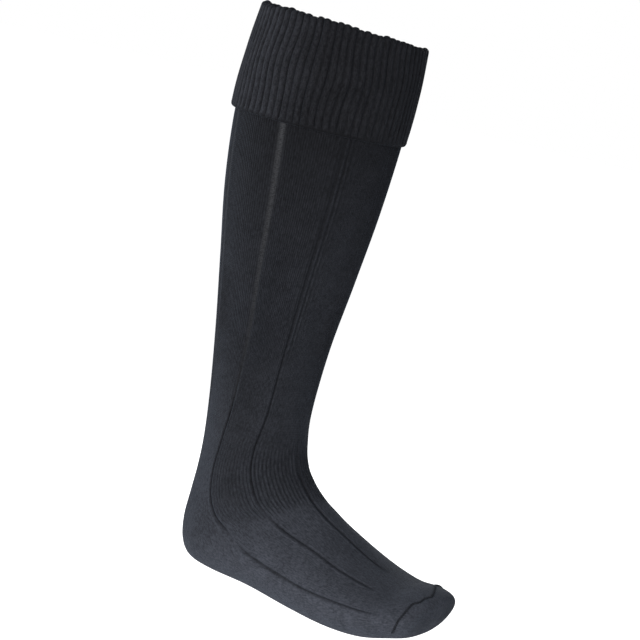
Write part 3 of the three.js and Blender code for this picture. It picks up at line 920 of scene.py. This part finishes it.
        # Painted shadow along the hem, darkest at the lowest edge of the outer face
        darkest, reach, depth = self.hem_painted_shadow
        hem = darkest * np.clip(reach - (height + self.drop) / depth, 0, 1) * outer
        # Painted light on the near and back side of the cuff
        paler = risen(from_front(needles), *self.painted_light_behind)
        piece = knit_flat("turnover_cuff_knit", columns, len(steps) - 1)
        # Painted shade darkens the rib valleys, deeper where a rib is fuller
        wear(piece, points, stitches, ladder=np.zeros(height.shape),
             cushion=np.broadcast_to(paler, height.shape),
             groove=np.maximum((1 - crest) * rib * own * self.rib_painted_shade, hem))
        close_joins(piece)
        return piece


@dataclass
class LegTube(KnitPiece):
    """The plain leg with its eight ladder lines.

    broad_wales: the needle angle where two wales lie together as one broad wale,
    how far round that reaches, and the angle that a broad wale takes up.
    broad_end: station where the broad wales end, and over what length.
    """

    wall: float = 1.9
    wale_relief: float = 0.42
    wale_painted_shade: float = 0.55
    broad_wales: Triple = (42.0, 7.0, 3.6)
    broad_end: Pair = (5.8, 1.2)
    broad_relief: float = 1.5
    end_length: float = 1.6
    columns_per_wale: int = 4
    rows: int = 54
    top: float = -12.3

    def wales(self, station: np.ndarray, needle: np.ndarray) -> Relief:
        """Fine wales, with painted shade between them, and broader beside the front lines."""
        size = from_front(needle)
        middle, reach, pitch = self.broad_wales
        broad = bell(size, middle, reach) * fallen(station, *self.broad_end)
        hollow = 0.5 - 0.5 * np.cos(math.tau * self.knitting.wale(needle))
        between = 0.5 + 0.5 * np.cos(math.tau * (size - middle - pitch / 2) / pitch)
        hollow = hollow + (between * self.broad_relief - hollow) * broad
        hollow = hollow * fallen(station, LEG_END, self.end_length)
        return -hollow * self.wale_relief, hollow * self.wale_painted_shade

    def build(self) -> bpy.types.Object:
        """Knit the leg as a round tube.

        Returns:
            The leg.
        """
        columns = self.knitting.needles * self.columns_per_wale
        needles = np.linspace(0, FULL_TURN, columns + 1)
        top = self.form.station_at(np.array([self.top]))[0]
        piece = self.skin_piece("leg_tube_knit", needles, top, LEG_END, self.rows, self.wales)
        close_joins(piece)
        thicken(piece, self.wall)
        return piece


@dataclass
class AnkleRib(KnitPiece):
    """The ribbed front of the ankle.

    side: the angle from the front past which the ribs grow fainter, and over what
    angle. The lengths, in stations, are those over which the ribs end.
    """

    wall: float = 2.4
    rib_relief: float = 0.5
    rib_roundness: float = 0.9
    rib_painted_shade: float = 0.6
    upper_length: float = 1.0
    lower_length: float = 0.6
    side: Pair = (52.0, 16.0)
    side_loss: float = 0.6
    ribs: int = 50
    columns_per_rib: int = 8
    rows: int = 56

    def ribbing(self, station: np.ndarray, needle: np.ndarray) -> Relief:
        """Ribs with painted shade in their hollows, that rise softly at both ends and are faint
        near the heel.
        """
        soft = risen(station, LEG_END, self.upper_length)
        soft = soft * fallen(station, edge_station(RIB_EDGE, needle), self.lower_length)
        soft = soft * (1 - self.side_loss * risen(np.abs(needle), *self.side))
        crest = np.abs(np.cos(np.pi * needle / HALF_TURN * self.ribs)) ** self.rib_roundness
        hollow = (1 - crest) * soft
        return -hollow * self.rib_relief, hollow * self.rib_painted_shade

    def build(self) -> bpy.types.Object:
        """Knit the ribs from one border round the front to the other.

        Returns:
            The ankle's ribbing.
        """
        columns = self.ribs * self.columns_per_rib
        needles = np.linspace(-QUARTER_TURN, QUARTER_TURN, columns + 1)
        end = edge_station(RIB_EDGE, needles)
        piece = self.skin_piece("ankle_rib_knit", needles, LEG_END, end, self.rows, self.ribbing)
        thicken(piece, self.wall)
        return piece


@dataclass
class FootPiece(KnitPiece):
    """A smooth piece of the foot between two needles and two edges.

    upper and lower: tables of the edges. A piece without a lower one ends at the
    toe seam.
    """

    name: str
    upper: Sequence[Pair]
    lower: Sequence[Pair] | None = None
    first: float = 90.0
    last: float = 270.0
    wall: float = 2.8
    columns: int = 300
    rows: int = 90

    def build(self) -> bpy.types.Object:
        """Knit the piece.

        Returns:
            The piece.
        """
        needles = np.linspace(self.first, self.last, self.columns + 1)
        start = edge_station(self.upper, needles)
        end = edge_station(self.lower, needles) if self.lower else seam_station(needles)
        piece = self.skin_piece(self.name, needles, start, end, self.rows, smooth_knit)
        thicken(piece, self.wall)
        return piece


@dataclass
class ToeCap(KnitPiece):
    """The closed toe. tip_reach: how far round the tip its last stitches lie."""

    wall: float = 2.8
    tip_reach: float = 8.0
    columns: int = 320
    rows: int = 60

    def build(self) -> bpy.types.Object:
        """Knit the toe round, down to its tip.

        Returns:
            The toe.
        """
        needles = np.linspace(-HALF_TURN, HALF_TURN, self.columns + 1)
        piece = self.skin_piece("toe_cap_knit", needles, seam_station(needles), self.form.tip,
                                self.rows, smooth_knit)
        close_joins(piece)
        self.close_tip(piece)
        thicken(piece, self.wall)
        return piece

    def close_tip(self, piece: bpy.types.Object) -> None:
        """Gather the last round of stitches and fill it."""
        tip = Vector(self.form.skin(np.array([self.form.tip]), np.array([0.0]))[0] * MM)
        pick(piece)
        bpy.ops.object.mode_set(mode="EDIT")
        bpy.ops.mesh.select_mode(type="EDGE")
        bpy.ops.mesh.select_all(action="DESELECT")
        bpy.ops.mesh.select_non_manifold()
        bpy.ops.object.mode_set(mode="OBJECT")
        for edge in piece.data.edges:
            middle = sum((piece.data.vertices[i].co for i in edge.vertices), Vector()) / 2
            edge.select = edge.select and (middle - tip).length < self.tip_reach * MM
        bpy.ops.object.mode_set(mode="EDIT")
        bpy.ops.mesh.extrude_edges_move()
        bpy.ops.mesh.merge(type="CENTER")
        bpy.ops.object.mode_set(mode="OBJECT")


@dataclass
class ToeSeam(KnitPiece):
    """The linked ridge where the toe was closed.

    reach: needle angle where the ridge ends on both sides, end_reach: the angle
    over which it thins to its end_size, bead: length of one linked stitch.
    """

    width: float = 1.9
    thickness: float = 0.8
    clearance: float = 0.05
    reach: float = 125.0
    end_reach: float = 6.0
    end_size: float = 0.15
    bead: float = 1.9
    bead_relief: float = 0.16
    wales: int = 6
    columns: int = 260
    sides: int = 12

    def build(self) -> bpy.types.Object:
        """Lay the ridge over the joint.

        Returns:
            The seam.
        """
        needles = np.linspace(-self.reach, self.reach, self.columns + 1)
        station = seam_station(needles)
        centre = self.form.skin(station, needles)
        normal = self.form.normal(station, needles)
        way = np.gradient(centre, axis=0)
        way /= np.linalg.norm(way, axis=-1, keepdims=True)
        across = np.cross(normal, way)
        steps = np.linalg.norm(np.diff(centre, axis=0), axis=-1)
        length = np.concatenate([[0], np.cumsum(steps)])
        size = np.clip((self.reach - np.abs(needles)) / self.end_reach, self.end_size, 1)
        size = size * (1 + self.bead_relief * np.cos(math.tau * length / self.bead))
        turn = np.linspace(0, math.tau, self.sides + 1)[:, None]
        side = np.cos(turn) * self.width / 2 * size
        up = (0.5 + 0.5 * np.sin(turn)) * self.thickness * size + self.clearance
        points = centre + across * side[..., None] + normal * up[..., None]
        wale = np.broadcast_to(turn / math.tau * self.wales, side.shape)
        course = np.broadcast_to(length / self.knitting.course, side.shape)
        piece = knit_flat("toe_seam_yarn", self.columns, self.sides)
        none = np.zeros(side.shape)
        wear(piece, points, np.stack([wale, course], axis=-1), ladder=none, groove=none,
             cushion=none)
        close_joins(piece)
        self.cap_ends(piece)
        return piece

    def cap_ends(self, piece: bpy.types.Object) -> None:
        """Close the two ends of the ridge."""
        pick(piece)
        bpy.ops.object.mode_set(mode="EDIT")
        bpy.ops.mesh.select_mode(type="EDGE")
        bpy.ops.mesh.select_all(action="DESELECT")
        bpy.ops.mesh.select_non_manifold()
        bpy.ops.mesh.edge_face_add()
        bpy.ops.mesh.select_all(action="SELECT")
        bpy.ops.mesh.normals_make_consistent(inside=False)
        bpy.ops.object.mode_set(mode="OBJECT")


@dataclass(frozen=True)
class SoftLight:
    """A soft square light: its name, place and size in metres, and power in watts."""

    name: str
    place: Triple
    size: float
    power: float


@dataclass
class Studio:
    """Pale floor, soft lights and the camera.

    The camera stands at distance metres from aim_mm, turned by azimuth, elevation
    and roll in degrees, and shows that point at aim_pixel.
    """

    floor_drop: float = 0.25
    floor_radius: float = 12.0
    floor_colour: Triple = (0.86, 0.86, 0.87)
    floor_glow: float = 0.8
    sky: float = 0.28
    sky_colour: Triple = (0.95, 0.97, 1.0)
    lights: tuple[SoftLight, ...] = (
        SoftLight("side_light", (-1.2, -0.25, -0.1), 0.6, 4.8),
        SoftLight("front_light", (0.4, -1.5, -0.2), 1.2, 16.4),
        SoftLight("low_light", (0.2, -0.5, -0.68), 0.4, 1.0),
        SoftLight("back_light", (-0.6, 1.4, 0.1), 1.0, 11.0),
    )
    light_aim: Triple = (0.03, 0.0, -0.25)
    azimuth: float = 30.1
    elevation: float = 8.6
    distance: float = 1.557
    roll: float = 13.2
    pixels_per_mm: float = 1.287
    aim_mm: Triple = (19.1, 0.0, -210.0)
    aim_pixel: Pair = (305.3, 294.5)
    picture: int = 640
    sensor: float = 36.0
    sight: float = 100.0

    def floor(self) -> None:
        """Lay the floor below the sock, white to the camera."""
        low = CAD_BOX[0][2] - self.floor_drop
        bpy.ops.mesh.primitive_circle_add(vertices=96, radius=self.floor_radius,
                                          fill_type="NGON", location=(0, 0, low))
        ground = bpy.context.object
        ground.name = "floor"
        mat = bpy.data.materials.new("pale_floor")
        mat.use_nodes = True
        shader = mat.node_tree.nodes["Principled BSDF"]
        shader.inputs["Base Color"].default_value = (*self.floor_colour, 1)
        shader.inputs["Roughness"].default_value = 0.95
        shader.inputs["Specular IOR Level"].default_value = 0.0
        shader.inputs["Emission Color"].default_value = (1, 1, 1, 1)
        bench = NodeBench(mat.node_tree)
        seen = bench.make("ShaderNodeLightPath", "Is Camera Ray", {})
        glow = bench.times(seen, self.floor_glow)
        mat.node_tree.links.new(glow, shader.inputs["Emission Strength"])
        ground.data.materials.append(mat)

    def surround(self) -> None:
        """Give the world an even light, white to the camera."""
        world = bpy.data.worlds.new("studio")
        bpy.context.scene.world = world
        world.use_nodes = True
        bench = NodeBench(world.node_tree)
        kind, sky = "ShaderNodeBackground", (*self.sky_colour, 1)
        lighting = bench.make(kind, 0, {"Color": sky, "Strength": self.sky})
        shown = bench.make(kind, 0, {"Color": (1, 1, 1, 1), "Strength": 1.0})
        seen = bench.make("ShaderNodeLightPath", "Is Camera Ray", {})
        mixed = bench.make("ShaderNodeMixShader", 0, {0: seen, 1: lighting, 2: shown})
        world.node_tree.links.new(mixed, world.node_tree.nodes["World Output"].inputs["Surface"])

    def hang(self, light: SoftLight) -> None:
        """Hang a light, facing the sock."""
        lamp = bpy.data.lights.new(light.name, "AREA")
        lamp.size = light.size
        lamp.energy = light.power
        holder = bpy.data.objects.new(light.name, lamp)
        bpy.context.scene.collection.objects.link(holder)
        holder.location = light.place
        holder.visible_camera = False
        way = Vector(self.light_aim) - Vector(light.place)
        holder.rotation_euler = way.to_track_quat("-Z", "Y").to_euler()

    def camera(self) -> None:
        """Stand the camera where the photograph was taken from."""
        turn, lift, roll = (math.radians(a) for a in (self.azimuth, self.elevation, self.roll))
        back = Vector((math.sin(turn) * math.cos(lift), -math.cos(turn) * math.cos(lift),
                       math.sin(lift)))
        right = Vector((math.cos(turn), math.sin(turn), 0))
        up = back.cross(right)
        focal = self.pixels_per_mm * self.distance / MM
        eye = Vector(self.aim_mm) * MM + back * self.distance
        rolled_right = right * math.cos(roll) + up * math.sin(roll)
        rolled_up = up * math.cos(roll) - right * math.sin(roll)
        # The middle of the picture lies a little off the aim, so the camera turns to it
        side = (self.picture / 2 - self.aim_pixel[0]) / focal
        rise = (self.aim_pixel[1] - self.picture / 2) / focal
        ahead = (-back + rolled_right * side + rolled_up * rise).normalized()
        new_right = (rolled_right - ahead * rolled_right.dot(ahead)).normalized()
        new_up = new_right.cross(ahead)
        data = bpy.data.cameras.new("camera")
        data.sensor_width = self.sensor
        data.lens = focal / self.picture * self.sensor
        data.clip_end = self.sight
        holder = bpy.data.objects.new("camera", data)
        bpy.context.scene.collection.objects.link(holder)
        matrix = Matrix((new_right, new_up, -ahead)).transposed().to_4x4()
        matrix.translation = eye
        holder.matrix_world = matrix
        bpy.context.scene.camera = holder

    def build(self) -> None:
        """Set up the whole studio."""
        self.floor()
        self.surround()
        for light in self.lights:
            self.hang(light)
        self.camera()
        view = bpy.context.scene.view_settings
        view.view_transform = "Standard"
        view.look = "None"


LEG_SHADES = ((0.0054, 0.0056, 0.0066), (0.0122, 0.0125, 0.0149))
FOOT_SHADES = ((0.0415, 0.0447, 0.055), (0.083, 0.0895, 0.11))
CUFF_SHADES = ((0.0086, 0.0089, 0.0106), (0.0222, 0.0228, 0.0272))
# The cuff's colours where painted light falls
CUFF_PAINTED_LIGHT_SHADES = ((0.0155, 0.0162, 0.0195), (0.04, 0.0417, 0.0502))
SEAM_SHADES = ((0.0145, 0.0153, 0.0183), (0.029, 0.031, 0.0372))


def main() -> None:
    """Build and dress the sock, then the studio."""
    logging.basicConfig(level=logging.INFO, format="%(name)s: %(message)s")
    kit = {"form": WornForm(), "knitting": Knitting(), "lines": DropStitches(),
           "cushion": PaleYarnAndPaintedLight()}
    leg = YarnFinish("leg_knit", LEG_SHADES, FOOT_SHADES).material()
    cuff = YarnFinish("cuff_knit", CUFF_SHADES, CUFF_PAINTED_LIGHT_SHADES, sheen=0.06).material()
    foot = YarnFinish("foot_knit", LEG_SHADES, FOOT_SHADES).material()
    seam = YarnFinish("seam_yarn", SEAM_SHADES, SEAM_SHADES).material()

    heel_pocket = FootPiece(**kit, name="heel_pocket_knit", upper=LEG_EDGE, lower=HEEL_EDGE,
                            rows=110)
    instep = FootPiece(**kit, name="instep_knit", upper=RIB_EDGE, first=-90.0, last=90.0,
                       wall=2.1, columns=400)
    sole = FootPiece(**kit, name="sole_knit", upper=HEEL_EDGE)
    pieces = ((TurnoverCuff(**kit), cuff, "cuff_rib_knit", "turnover_cuff"),
              (LegTube(**kit), leg, "leg_knit", "leg_tube"),
              (AnkleRib(**kit), leg, "ankle_rib_knit", "ankle_rib"),
              (heel_pocket, foot, "cushion_knit", "heel_pocket"),
              (instep, foot, "foot_knit", "instep"),
              (sole, foot, "cushion_knit", "sole"),
              (ToeCap(**kit), foot, "foot_knit", "toe_cap"),
              (ToeSeam(**kit), seam, "linking_yarn", "toe_seam"))
    for piece, finish, slot, node in pieces:
        piece.finish_piece(piece.build(), finish, slot, node)

    Studio().build()


if __name__ == "__main__":
    main()
